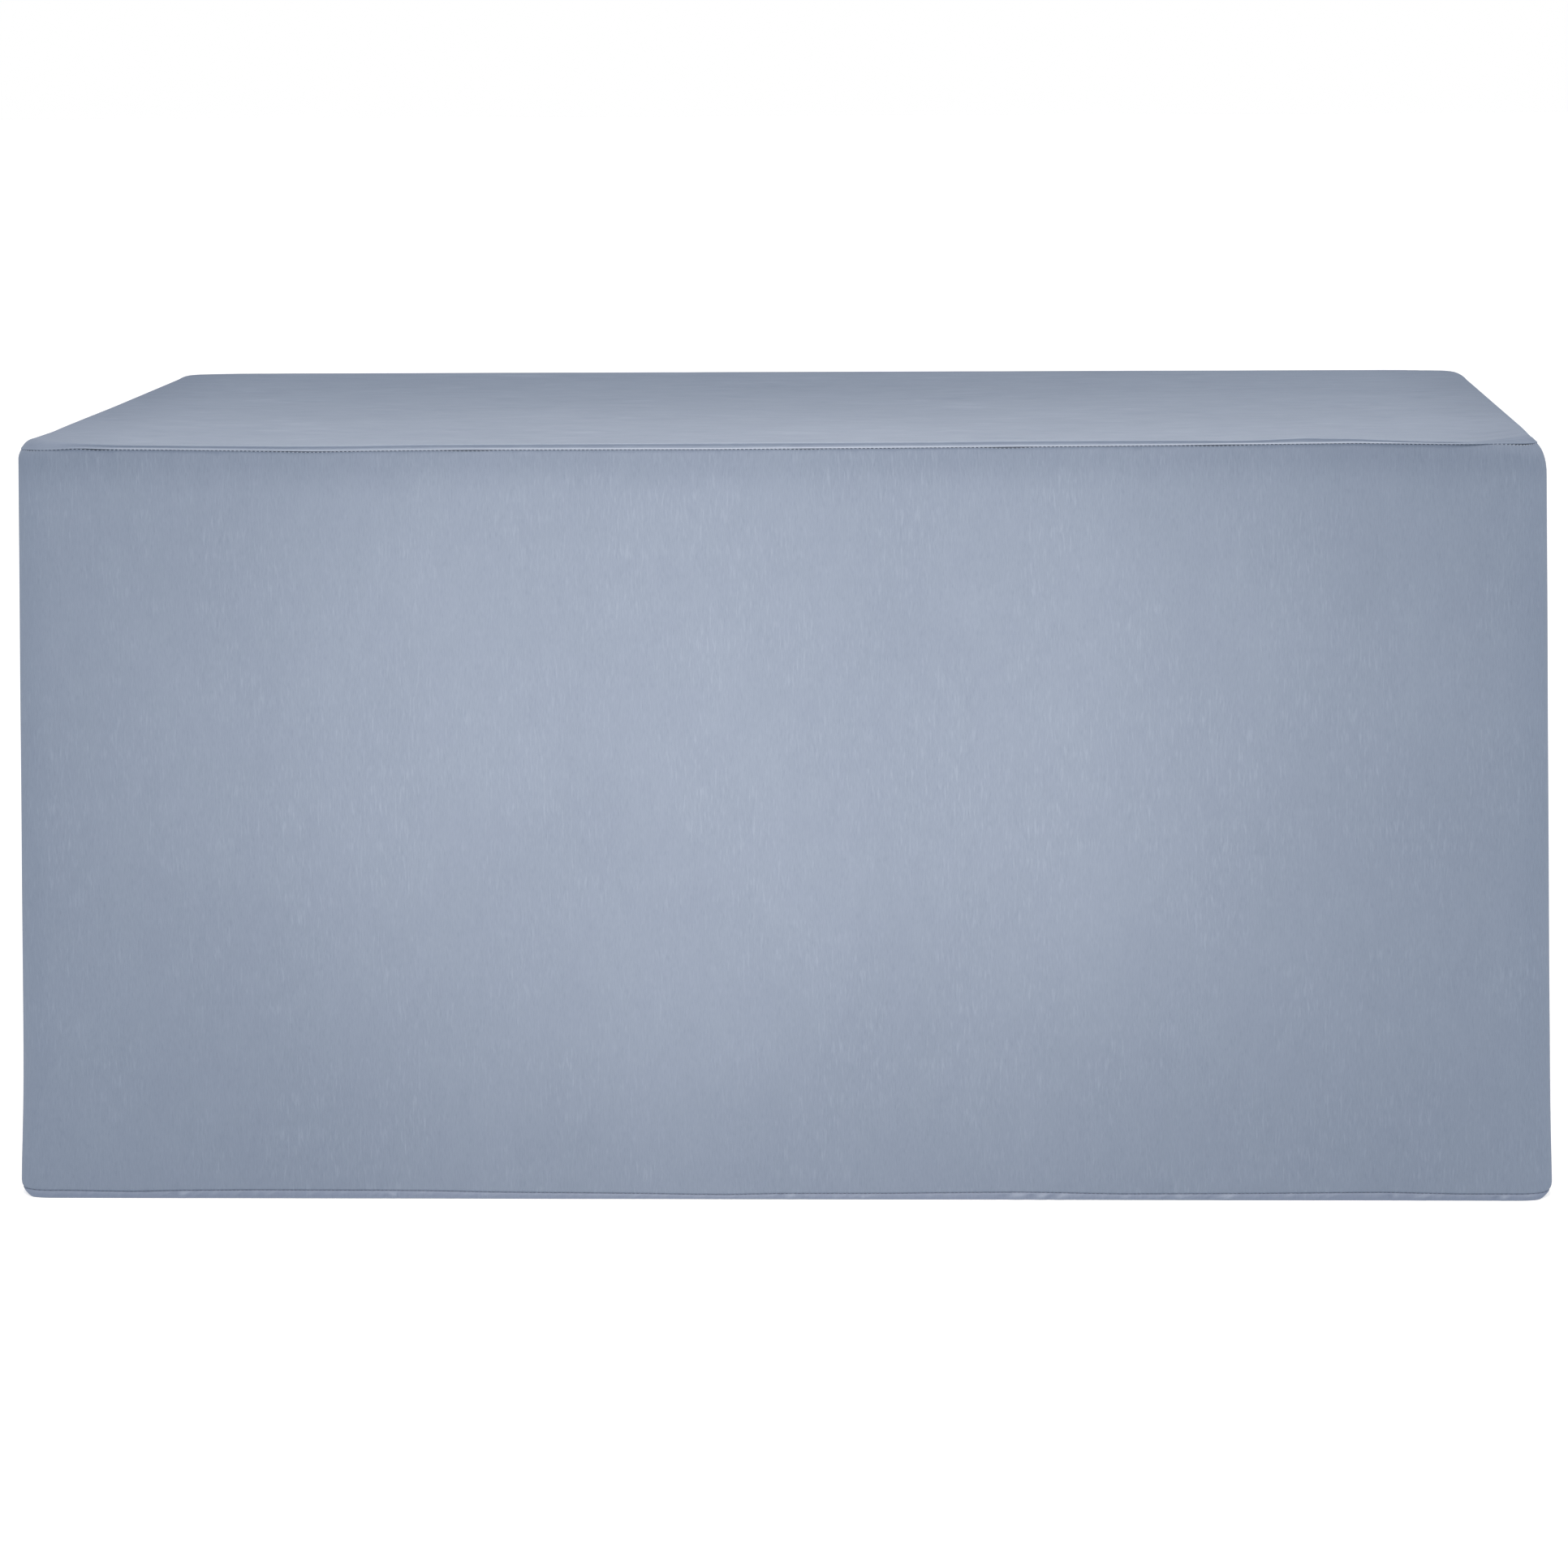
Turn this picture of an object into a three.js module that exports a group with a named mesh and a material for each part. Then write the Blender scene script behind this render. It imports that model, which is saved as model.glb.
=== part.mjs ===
// A fitted cover for a patio loveseat: a flat top panel and four side panels of heavy woven
// cloth, sewn into an open-bottomed box that slips over the furniture and reaches the floor.
// Millimetres, +Z up. The front faces -Y, and the origin is on the floor under the middle.
import * as THREE from "three";
import { mergeVertices } from "three/addons/utils/BufferGeometryUtils.js";

// The whole cover. It is a little wider at the hem than at the top, and its upright corners
// are round in plan.
const WIDTH = 1600;
const DEPTH = 1050;
const HEIGHT = 792;
const FLARE = 11;
const CORNER_RADIUS = 42;
const CORNER_STEPS = 6;

// The cloth: one layer, the gap between two sewn layers, and how far a face billows or sags.
const CLOTH = 1.6;
const GAP = 0.3;
const BILLOW = 4;
const SAG = 4;

// The top seam: the top panel turns down over the edge and laps the side panels, which run
// up behind it by TUCK and ease back out to the face over SEAM_EASE.
const TUCK = 1;
const SEAM_EASE = 12;
const ROLL_STEPS = 4;

// The upright seams: the front and back panels run on round the corners by RETURN and lap
// the left and right panels by LAP.
const RETURN = 18;
const LAP = 12;
const LAP_EASE = 14;

// The hem is drawn in under the four corners, fading along each side of the cover.
const CORNER_TUCK = 11;
const TUCK_HEIGHT = 14;
const TUCK_FADE = 60;
const TUCK_CURL = 0.9;

// The hem's section: a turned and stitched band with a groove over it.
const HEM = [
  { z: 0, out: -0.4, thick: 2.8 },
  { z: 1.5, out: 0.2, thick: 2.8 },
  { z: 4.5, out: 0.5, thick: 2.8 },
  { z: 7.4, out: 0, thick: 2.8 },
  { z: 8.8, out: -0.4, thick: 2.0 },
  { z: 12, out: 0, thick: CLOTH },
];
const WALL_HEIGHTS = [30, 110, 250, 400, 540, 660, 725, 750];

// The straight runs between the corners, and the distances from their ends at which the
// cloth changes most.
const FRONT_RUN = WIDTH - 2 * (FLARE + CORNER_RADIUS);
const SIDE_RUN = DEPTH - 2 * (FLARE + CORNER_RADIUS);
const FRONT_ENDS = [0, 25, 60, 110];
const SIDE_ENDS = [0, RETURN - LAP, RETURN, RETURN + LAP_EASE, 80];
const FRONT_STEPS = 10;
const SIDE_STEPS = 6;

// The top seam and the roll of the cloth over the edge, followed round the cover.
// at: distance along the run; seam: depth of the seam under HEIGHT; rise and reach: how far
// down and how far in the roll begins. The front and back edges are pressed, the rest soft.
const EDGE = {
  front: [
    { at: 0, seam: 8.1, rise: 12, reach: 10 },
    { at: 60, seam: 7.9, rise: 4, reach: 3 },
    { at: 120, seam: 9.4, rise: 3.2, reach: 2.5 },
    { at: 270, seam: 11.5, rise: 3.2, reach: 2.5 },
    { at: 425, seam: 10.2, rise: 3.2, reach: 2.5 },
    { at: 680, seam: 10.4, rise: 3.2, reach: 2.5 },
    { at: 830, seam: 9.7, rise: 3.2, reach: 2.5 },
    { at: 1035, seam: 8.4, rise: 3.2, reach: 2.5 },
    { at: 1210, seam: 7.1, rise: 3.2, reach: 2.5 },
    { at: 1340, seam: 5.9, rise: 3.2, reach: 2.5 },
    { at: FRONT_RUN - 60, seam: 6.8, rise: 5, reach: 4 },
    { at: FRONT_RUN, seam: 6.3, rise: 16, reach: 11 },
  ],
  right: [
    { at: 0, seam: 8.5, rise: 42, reach: 26 },
    { at: 110, seam: 12.5, rise: 31, reach: 31 },
    { at: 475, seam: 13, rise: 31, reach: 31 },
    { at: SIDE_RUN, seam: 12, rise: 31, reach: 31 },
  ],
  back: [
    { at: 0, seam: 10, rise: 16, reach: 14 },
    { at: 60, seam: 7.5, rise: 4, reach: 3 },
    { at: 750, seam: 6, rise: 3.2, reach: 2.5 },
    { at: FRONT_RUN - 60, seam: 7.5, rise: 4, reach: 3 },
    { at: FRONT_RUN, seam: 10, rise: 16, reach: 14 },
  ],
  left: [
    { at: 0, seam: 12, rise: 31, reach: 31 },
    { at: 475, seam: 14, rise: 31, reach: 31 },
    { at: 840, seam: 11.5, rise: 31, reach: 31 },
    { at: SIDE_RUN, seam: 10.6, rise: 27, reach: 27 },
  ],
};

// How far the top droops along its front edge, from left to right, fading towards the back.
const DROOP = [
  { at: -790, droop: 0.3 },
  { at: -745, droop: 2.8 },
  { at: -700, droop: 5.2 },
  { at: -480, droop: 8.4 },
  { at: -275, droop: 6.4 },
  { at: -70, droop: 6.8 },
  { at: 80, droop: 6.2 },
  { at: 285, droop: 4.4 },
  { at: 460, droop: 3.4 },
  { at: 590, droop: 1.2 },
  { at: 690, droop: 2 },
  { at: 780, droop: 1 },
];
const DROOP_FADE = 260;

// Points nearer than WELD are one point. A wall's slope is read over PROBE up and down.
const WELD = 1e-4;
const PROBE = 0.25;

const clamp = THREE.MathUtils.clamp;
const smooth = (t) => THREE.MathUtils.smoothstep(t, 0, 1);

// A column of a table at a place between two of its rows, and level past its ends.
function read(table, key, place, column) {
  const next = table.findIndex((row) => row[key] >= place);
  if (next === 0) return table[0][column];
  if (next < 0) return table.at(-1)[column];
  const [a, b] = [table[next - 1], table[next]];
  const part = (place - a[key]) / (b[key] - a[key]);
  return THREE.MathUtils.lerp(a[column], b[column], part);
}

// Distances along a straight run: close together at its ends, even between them.
function stops(length, ends, steps) {
  const first = ends.at(-1);
  const step = (length - 2 * first) / steps;
  const middle = Array.from({ length: steps - 1 }, (_, i) => first + step * (i + 1));
  return [...ends, ...middle, ...ends.map((end) => length - end).reverse()];
}

const frontStops = stops(FRONT_RUN, FRONT_ENDS, FRONT_STEPS);
const sideStops = stops(SIDE_RUN, SIDE_ENDS, SIDE_STEPS);
const RUNS = [
  { name: "front", length: FRONT_RUN, stops: frontStops, turn: 0 },
  { name: "right", length: SIDE_RUN, stops: sideStops, turn: 1 },
  { name: "back", length: FRONT_RUN, stops: frontStops, turn: 2 },
  { name: "left", length: SIDE_RUN, stops: sideStops, turn: 3 },
];

// The stations round the cover, anticlockwise from the left end of the front. Each has its
// point on the core rectangle, which joins the corners' centres, and its outward direction.
// A corner's stations carry the share of each neighbouring run.
function stationsRound() {
  const stations = [];
  RUNS.forEach((run, r) => {
    const angle = (run.turn * Math.PI) / 2;
    const next = RUNS[(r + 1) % RUNS.length];
    const along = new THREE.Vector2(Math.cos(angle), Math.sin(angle));
    const across = (r % 2 ? FRONT_RUN : SIDE_RUN) / 2;
    const outward = new THREE.Vector2(along.y, -along.x);
    for (const at of run.stops) {
      const core = along
        .clone()
        .multiplyScalar(at - run.length / 2)
        .addScaledVector(outward, across);
      stations.push({ run: run.name, at, core, outward, length: run.length });
    }
    const core = stations.at(-1).core;
    for (let i = 1; i < CORNER_STEPS; i++) {
      const share = i / CORNER_STEPS;
      const bearing = angle - Math.PI / 2 + (share * Math.PI) / 2;
      const turned = new THREE.Vector2(Math.cos(bearing), Math.sin(bearing));
      stations.push({ from: run, to: next, share, core, outward: turned });
    }
  });
  return stations;
}

// The top seam and the roll at a station.
function edgeAt(station, column) {
  if (station.run) return read(EDGE[station.run], "at", station.at, column);
  const before = EDGE[station.from.name].at(-1)[column];
  const after = EDGE[station.to.name][0][column];
  return THREE.MathUtils.lerp(before, after, station.share);
}

// The top's height: level, with a slight sag in the middle and the droop along its front.
function topHeight(x, y) {
  const sag = SAG * (1 - (2 * x / WIDTH) ** 2) * (1 - (2 * y / DEPTH) ** 2);
  const fade = 1 - smooth((y + DEPTH / 2) / DROOP_FADE);
  return HEIGHT - sag - fade * read(DROOP, "at", x, "droop");
}

// A point of the cover's face: out from a station's core point, at a height.
function pointAt(station, out, z) {
  const { core, outward } = station;
  const reach = CORNER_RADIUS + out;
  return new THREE.Vector3(core.x + outward.x * reach, core.y + outward.y * reach, z);
}

// The roll at a station, where the wall turns over into the top.
function rollAt(station) {
  const rise = edgeAt(station, "rise");
  const reach = edgeAt(station, "reach");
  const inner = pointAt(station, -reach, 0);
  const top = topHeight(inner.x, inner.y);
  return { rise, reach, top, start: top - rise, seam: HEIGHT - edgeAt(station, "seam") };
}

// How far a wall billows between its corners, the floor and the top.
function billow(station, z) {
  if (!station.run) return 0;
  const across = 1 - (2 * station.at / station.length - 1) ** 4;
  return BILLOW * across * Math.sin(Math.PI * clamp(z / HEIGHT, 0, 1));
}

// How far the hem is drawn in near a corner: a quarter curl, less steep than a full one.
function cornerTuck(station, z) {
  if (z > TUCK_HEIGHT) return 0;
  const away = station.run ? Math.min(station.at, station.length - station.at) : 0;
  const curl = TUCK_CURL * (1 - z / TUCK_HEIGHT);
  return CORNER_TUCK * (1 - smooth(away / TUCK_FADE)) * (1 - Math.sqrt(1 - curl ** 2));
}

// How far the wall's face stands out past the top's outline at a height.
function faceOut(station, roll, z) {
  const turned = clamp((z - roll.start) / roll.rise, 0, 1);
  const inset = roll.reach * (1 - Math.sqrt(1 - turned ** 2));
  const flare = FLARE * (1 - z / HEIGHT);
  const hem = z < HEM.at(-1).z ? read(HEM, "z", z, "out") : 0;
  return flare + billow(station, z) - cornerTuck(station, z) + hem - inset;
}

// The share of a full layer's depth by which a wall steps in behind the top panel's edge.
function behindTop(roll, z) {
  return smooth((z - roll.seam + SEAM_EASE) / (SEAM_EASE - 1));
}

// The heights of a wall's rows at a station, from the floor to behind the top panel's edge.
// Where that edge is narrow, the wall ends just under the top panel.
function rowHeights(roll) {
  const under = roll.seam - SEAM_EASE;
  const end = Math.min(roll.seam + TUCK, roll.top - CLOTH - GAP);
  return [
    ...HEM.map((row) => row.z),
    ...WALL_HEIGHTS,
    (WALL_HEIGHTS.at(-1) + under) / 2,
    under,
    roll.seam - SEAM_EASE / 2,
    end - 2 * TUCK,
    end,
  ];
}

// The triangles of a solid, gathered as quads whose corners run anticlockwise from outside.
class Skin {
  corners = [];

  quad(a, b, c, d) {
    for (const [p, q, r] of [[a, b, c], [a, c, d]]) {
      const flat = p.equals(q) || q.equals(r) || r.equals(p);
      if (!flat) this.corners.push(p, q, r);
    }
  }

  geometry() {
    const loose = new THREE.BufferGeometry().setFromPoints(this.corners);
    const merged = mergeVertices(loose, WELD);
    merged.computeVertexNormals();
    return merged;
  }
}

// One side panel as a closed sheet: its face, its inner face, and the four cut edges.
// under(station): how much of a layer's depth the panel lies under its neighbour's lap.
function wallGeometry(stations, under) {
  const outer = [];
  const inner = [];
  for (const station of stations) {
    const roll = rollAt(station);
    const outerColumn = [];
    const innerColumn = [];
    for (const z of rowHeights(roll)) {
      const thick = z < HEM.at(-1).z ? read(HEM, "z", z, "thick") : CLOTH;
      const rise = faceOut(station, roll, z + PROBE) - faceOut(station, roll, z - PROBE);
      const tilt = z < TUCK_HEIGHT ? 1 : Math.hypot(1, rise / (2 * PROBE));
      const inward = under(station) * (thick + GAP) + behindTop(roll, z) * (CLOTH + GAP);
      const out = faceOut(station, roll, z) - inward * tilt;
      outerColumn.push(pointAt(station, out, z));
      innerColumn.push(pointAt(station, out - thick * tilt, z));
    }
    outer.push(outerColumn);
    inner.push(innerColumn);
  }
  const skin = new Skin();
  const [last, top] = [outer.length - 1, outer[0].length - 1];
  for (let i = 0; i < last; i++) {
    const [o, p, m, n] = [outer[i], outer[i + 1], inner[i], inner[i + 1]];
    for (let j = 0; j < top; j++) {
      skin.quad(o[j], p[j], p[j + 1], o[j + 1]);
      skin.quad(n[j], m[j], m[j + 1], n[j + 1]);
    }
    skin.quad(p[0], o[0], m[0], n[0]);
    skin.quad(o[top], p[top], n[top], m[top]);
  }
  for (let j = 0; j < top; j++) {
    skin.quad(outer[0][j], outer[0][j + 1], inner[0][j + 1], inner[0][j]);
    skin.quad(outer[last][j + 1], outer[last][j], inner[last][j], inner[last][j + 1]);
  }
  return skin.geometry();
}

// The points of the top panel's turned edge at a station, from the seam over the roll to the
// core rectangle, on its face (depth 0) or its underside (depth CLOTH).
function turnedEdge(station, depth) {
  const roll = rollAt(station);
  const seamOut = faceOut(station, roll, roll.seam);
  const first = Math.asin(clamp((roll.seam - roll.start) / roll.rise, 0, 1));
  const points = [];
  for (let i = 0; i <= ROLL_STEPS; i++) {
    const angle = first + ((Math.PI / 2 - first) * i) / ROLL_STEPS;
    const normal = new THREE.Vector2(
      Math.cos(angle) / roll.reach,
      Math.sin(angle) / roll.rise,
    ).normalize();
    const z = i ? roll.start + roll.rise * Math.sin(angle) : roll.seam;
    const out = i ? faceOut(station, roll, roll.start) - roll.reach * (1 - Math.cos(angle)) : seamOut;
    points.push(pointAt(station, out - depth * normal.x, z - depth * normal.y));
  }
  const core = pointAt(station, -CORNER_RADIUS, 0);
  points.push(core.setZ(topHeight(core.x, core.y) - depth));
  return points;
}

// The top panel: a level field over the core rectangle, and the edge turned down all round.
function topGeometry(stations) {
  const outer = stations.map((station) => turnedEdge(station, 0));
  const inner = stations.map((station) => turnedEdge(station, CLOTH));
  const skin = new Skin();
  stations.forEach((_, i) => {
    const next = (i + 1) % stations.length;
    const [o, p, m, n] = [outer[i], outer[next], inner[i], inner[next]];
    for (let j = 0; j + 1 < o.length; j++) {
      skin.quad(o[j], p[j], p[j + 1], o[j + 1]);
      skin.quad(n[j], m[j], m[j + 1], n[j + 1]);
    }
    skin.quad(p[0], o[0], m[0], n[0]);
  });
  const field = (i, j, depth) => {
    const x = frontStops[i] - FRONT_RUN / 2;
    const y = sideStops[j] - SIDE_RUN / 2;
    return new THREE.Vector3(x, y, topHeight(x, y) - depth);
  };
  for (let i = 0; i + 1 < frontStops.length; i++) {
    for (let j = 0; j + 1 < sideStops.length; j++) {
      const cell = (depth) => [
        field(i, j, depth),
        field(i + 1, j, depth),
        field(i + 1, j + 1, depth),
        field(i, j + 1, depth),
      ];
      skin.quad(...cell(0));
      skin.quad(...cell(CLOTH).reverse());
    }
  }
  return skin.geometry();
}

// The stations from one place on the way round to another.
function stretch(stations, fromRun, fromAt, toRun, toAt) {
  const near = (run, at) => (s) => s.run === run && Math.abs(s.at - at) < WELD;
  const first = stations.findIndex(near(fromRun, fromAt));
  const last = stations.findIndex(near(toRun, toAt));
  if (first <= last) return stations.slice(first, last + 1);
  return [...stations.slice(first), ...stations.slice(0, last + 1)];
}

// The share of a layer by which a left or right panel lies under the corner panels' laps.
function underLap(station) {
  const away = Math.min(station.at, station.length - station.at);
  return 1 - smooth((away - RETURN - 1) / (LAP_EASE - 1));
}

function panel(name, geometry, color) {
  const material = new THREE.MeshStandardMaterial({ color, roughness: 0.9, metalness: 0 });
  const mesh = new THREE.Mesh(geometry, material);
  mesh.name = name;
  return mesh;
}

const stations = stationsRound();
const onTop = () => 0;
const underStart = RETURN - LAP;
const cover = new THREE.Group();
cover.add(
  panel("top_panel", topGeometry(stations), 0x9ca9bb),
  panel(
    "front_panel",
    wallGeometry(stretch(stations, "left", SIDE_RUN - RETURN, "right", RETURN), onTop),
    0x93a1b3,
  ),
  panel(
    "back_panel",
    wallGeometry(stretch(stations, "right", SIDE_RUN - RETURN, "left", RETURN), onTop),
    0x93a1b3,
  ),
  panel(
    "right_panel",
    wallGeometry(stretch(stations, "right", underStart, "right", SIDE_RUN - underStart), underLap),
    0x8c9aad,
  ),
  panel(
    "left_panel",
    wallGeometry(stretch(stations, "left", underStart, "left", SIDE_RUN - underStart), underLap),
    0x8c9aad,
  ),
);

export default cover;
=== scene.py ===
import math

import bmesh
import bpy
import numpy as np
from mathutils import Matrix, Vector
from mathutils.bvhtree import BVHTree


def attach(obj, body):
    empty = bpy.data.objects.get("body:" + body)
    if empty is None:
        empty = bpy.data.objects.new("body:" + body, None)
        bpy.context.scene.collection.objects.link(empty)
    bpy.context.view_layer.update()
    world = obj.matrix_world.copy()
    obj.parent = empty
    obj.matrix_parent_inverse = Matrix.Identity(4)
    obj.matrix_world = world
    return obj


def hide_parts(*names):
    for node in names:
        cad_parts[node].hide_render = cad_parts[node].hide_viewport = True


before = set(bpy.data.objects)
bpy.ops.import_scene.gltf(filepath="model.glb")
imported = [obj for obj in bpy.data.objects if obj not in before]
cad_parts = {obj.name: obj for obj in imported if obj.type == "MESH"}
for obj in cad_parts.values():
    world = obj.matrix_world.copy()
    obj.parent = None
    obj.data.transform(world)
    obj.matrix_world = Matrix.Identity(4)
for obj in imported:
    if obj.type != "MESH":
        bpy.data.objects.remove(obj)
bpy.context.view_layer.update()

# The top panel: one flat piece of slubbed blue-grey cloth. Its edge is folded down over the
# furniture and turned under, and its rim is topstitched onto the four side panels.

mm = 0.001
cover_width = 1600 * mm
cover_depth = 1050 * mm
cover_height = 792 * mm
wall_flare = 11 * mm
corner_radius = 42 * mm
wall_billow = 4 * mm
top_sag = 4 * mm
cloth_thickness = 1.3 * mm

front_run = cover_width - 2 * (wall_flare + corner_radius)
side_run = cover_depth - 2 * (wall_flare + corner_radius)
corner_arc = corner_radius * math.pi / 2

# Distances round the cover start at the front's left end and run anticlockwise from above.
front_start = 0.0
right_start = front_start + front_run + corner_arc
back_start = right_start + side_run + corner_arc
left_start = back_start + front_run + corner_arc
whole_round = left_start + side_run + corner_arc

# Each run: where it starts, its length, the corner centre that it starts from, its heading.
runs = [
    (front_start, front_run, (-front_run / 2, -side_run / 2), 0),
    (right_start, side_run, (front_run / 2, -side_run / 2), math.pi / 2),
    (back_start, front_run, (front_run / 2, side_run / 2), math.pi),
    (left_start, side_run, (-front_run / 2, side_run / 2), 3 * math.pi / 2),
]

# The top seam and the roll of the cloth over the edge, in mm. Each row: distance along the
# run, depth of the seam under the top, and how far down and how far in the roll begins.
front_edge = [
    (0, 9.2, 12, 9), (25, 7.8, 8, 6), (60, 8.8, 4, 3), (120, 9.4, 3.2, 2.5),
    (270, 11.5, 3.2, 2.5), (425, 10.2, 3.2, 2.5), (680, 10.4, 3.2, 2.5),
    (830, 9.7, 3.2, 2.5), (1035, 8.4, 3.2, 2.5), (1210, 7.1, 3.2, 2.5),
    (1340, 5.9, 3.2, 2.5), (1434, 7.4, 5, 4), (1494, 7.1, 16, 11),
]
right_edge = [(0, 8.5, 42, 26), (110, 12.5, 31, 31), (475, 13, 31, 31), (944, 12, 31, 31)]
back_edge = [
    (0, 10, 16, 14), (60, 7.5, 4, 3), (750, 6, 3.2, 2.5), (1434, 7.5, 4, 3),
    (1494, 10, 16, 14),
]
left_edge = [(0, 12, 31, 31), (475, 14, 31, 31), (840, 11.5, 30, 27), (944, 10.6, 24, 20)]
edge_smoothing = 30 * mm
rim_hang = 1.4 * mm

# How far the top droops along its front edge, at places across the cover, in mm.
front_droop = [
    (-790, 0), (-743, 2.4), (-701, 4.4), (-680, 5.3), (-511, 6.9), (-440, 6.7), (-363, 5.7),
    (-223, 5.4), (-20, 4.9), (157, 4.4), (250, 3.5), (326, 3.4), (400, 3.5), (460, 3.9),
    (491, 3.6), (520, 2.2), (545, 1.2), (565, 2.1), (590, 2.2), (612, 3.4), (635, 4.4),
    (660, 5.3), (700, 6.0), (730, 5.0), (766, 1.2),
]
droop_fade = 260 * mm


def smoothstep(share):
    share = np.clip(share, 0, 1)
    return share * share * (3 - 2 * share)


def bump(offset, width):
    """A soft bump, 1 in its middle, that has faded away at about two widths."""
    return np.exp(-((offset / width) ** 2))


def soft_curve(rows, column, smoothing, period=None):
    """A column of a table as a softly rounded function of the table's first column."""
    places = [row[0] for row in rows]
    values = [row[column] for row in rows]
    low, high = (0, period) if period else (places[0], places[-1])
    fine = np.linspace(low, high, 4001)
    level = np.interp(fine, places, values, period=period)
    half = max(1, int(smoothing / (high - low) * 4000 / 2))
    kernel = np.hanning(2 * half + 3)
    padded = np.pad(level, half + 1, mode="wrap" if period else "edge")
    soft = np.convolve(padded, kernel / kernel.sum(), mode="valid")
    return lambda at: np.interp(np.mod(at, period) if period else at, fine, soft)


edge_rows = [
    (start + at * mm, seam * mm + rim_hang, rise * mm, reach * mm)
    for start, table in (
        (front_start, front_edge),
        (right_start, right_edge),
        (back_start, back_edge),
        (left_start, left_edge),
    )
    for at, seam, rise, reach in table
]
seam_depth, roll_rise, roll_reach = (
    soft_curve(edge_rows, column, edge_smoothing, whole_round) for column in (1, 2, 3)
)
droop_at = soft_curve([(x * mm, droop * mm) for x, droop in front_droop], 1, edge_smoothing)


def round_cover(distance):
    """The corner centre or core point, and the outward direction, at distances round the cover."""
    distance = np.mod(distance, whole_round)
    core = np.zeros((len(distance), 2))
    outward = np.zeros((len(distance), 2))
    for start, length, (x, y), heading in runs:
        here = (distance >= start) & (distance < start + length + corner_arc)
        gone = distance[here] - start
        along = np.minimum(gone, length)
        turned = heading - math.pi / 2 + np.maximum(gone - length, 0) / corner_radius
        core[here] = np.column_stack([x + along * math.cos(heading), y + along * math.sin(heading)])
        outward[here] = np.column_stack([np.cos(turned), np.sin(turned)])
    return core, outward


def top_height(x, y):
    """The top's height: a slight sag in the middle and the droop along the front."""
    sag = top_sag * (1 - (2 * x / cover_width) ** 2) * (1 - (2 * y / cover_depth) ** 2)
    fade = 1 - smoothstep((y + cover_depth / 2) / droop_fade)
    return cover_height - sag - fade * droop_at(x)


def along_run(distance):
    """How far along its run a place is, and the run's length; in a corner it is a run's end."""
    distance = np.mod(distance, whole_round)
    at = np.zeros(len(distance))
    length = np.ones(len(distance))
    for start, run, _, _ in runs:
        here = (distance >= start) & (distance < start + run + corner_arc)
        at[here] = np.minimum(distance[here] - start, run)
        length[here] = run
    return at, length


def wall_stand(distance, height):
    """How far a wall stands out past the top's outline, before its hem and seams."""
    at, length = along_run(distance)
    across = 1 - (2 * at / length - 1) ** 4
    lift = np.clip(height / cover_height, 0, 1)
    return wall_flare * (1 - height / cover_height) + wall_billow * across * np.sin(math.pi * lift)


# The seam along the rim, in mm round the cover, with what shows at each place. Each row:
# distance, how strong the painted highlight on the rim's crest is, how deep the hollow above
# it, how deep the dark crease that follows the fold of the edge.
rim_looks = [
    (-60, 0.5, 0.4, 0), (-20, 0.6, 0.4, 0), (110, 0.9, 0.45, 0), (190, 0.6, 0.5, 0),
    (400, 0.75, 0.5, 0), (480, 1.0, 0.6, 0), (700, 1.0, 0.6, 0), (860, 0.9, 0.6, 0),
    (1030, 1.05, 0.5, 0), (1220, 1.1, 0.45, 0.1), (1290, 1.5, 0.4, 0.3),
    (1365, 1.4, 0.4, 0.3), (1390, 0.7, 0.4, 0.3), (1440, 0.6, 0.45, 0.35),
    (1500, 0.5, 0.4, 0.4), (1560, 0.4, 0.5, 0), (2000, 0.8, 0.4, 0), (2500, 0.6, 0.5, 0),
    (3100, 0.9, 0.5, 0), (3700, 0.7, 0.5, 0), (4300, 0.8, 0.4, 0), (4900, 0.6, 0.4, 0),
]
rim_rows = [(row[0] * mm, *row[1:]) for row in rim_looks]
rim_smoothing = 25 * mm
rim_light, hollow_depth, fold_crease = (
    soft_curve(rim_rows, column, rim_smoothing, whole_round) for column in (1, 2, 3)
)

# Places where the rim stands off the wall, in mm: middle, half its length, how much.
rim_gaps = [
    (-27, 12, 0.5), (46, 14, 0.9), (257, 48, 0.5), (430, 26, 0.9), (777, 18, 0.5),
    (984, 22, 1.0), (1196, 30, 0.7), (1514, 20, 1.1), (1760, 40, 0.6), (2180, 60, 0.8),
    (2700, 30, 0.6), (3150, 60, 0.7), (3620, 45, 0.9), (4010, 30, 0.6), (4420, 50, 0.8),
    (4950, 40, 0.7),
]


def rim_gap(distance):
    """How much taller than usual the dark gap under the rim is, in mm."""
    gap = np.zeros(len(distance))
    for middle, half, size in rim_gaps:
        away = np.mod(distance - middle * mm + whole_round / 2, whole_round) - whole_round / 2
        gap += size * bump(away, half * mm)
    return gap


# The edge's fold where it is pressed crisp: how far down and in it begins, the rise of the
# table's roll up to which it is crisp and over which that fades, and how firm the rest is.
crisp_rise = 1.1 * mm
crisp_reach = 1.0 * mm
crisp_until = 4 * mm
crisp_fade = 10 * mm
firm_at_least = 0.35

# How many points the edge's line has on the roll, on the drop under it and on the flat
# inside it, and how far to both sides of a point its lean is read.
roll_steps = 48
drop_steps = 6
flat_steps = 12
probe = 0.4 * mm

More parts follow.
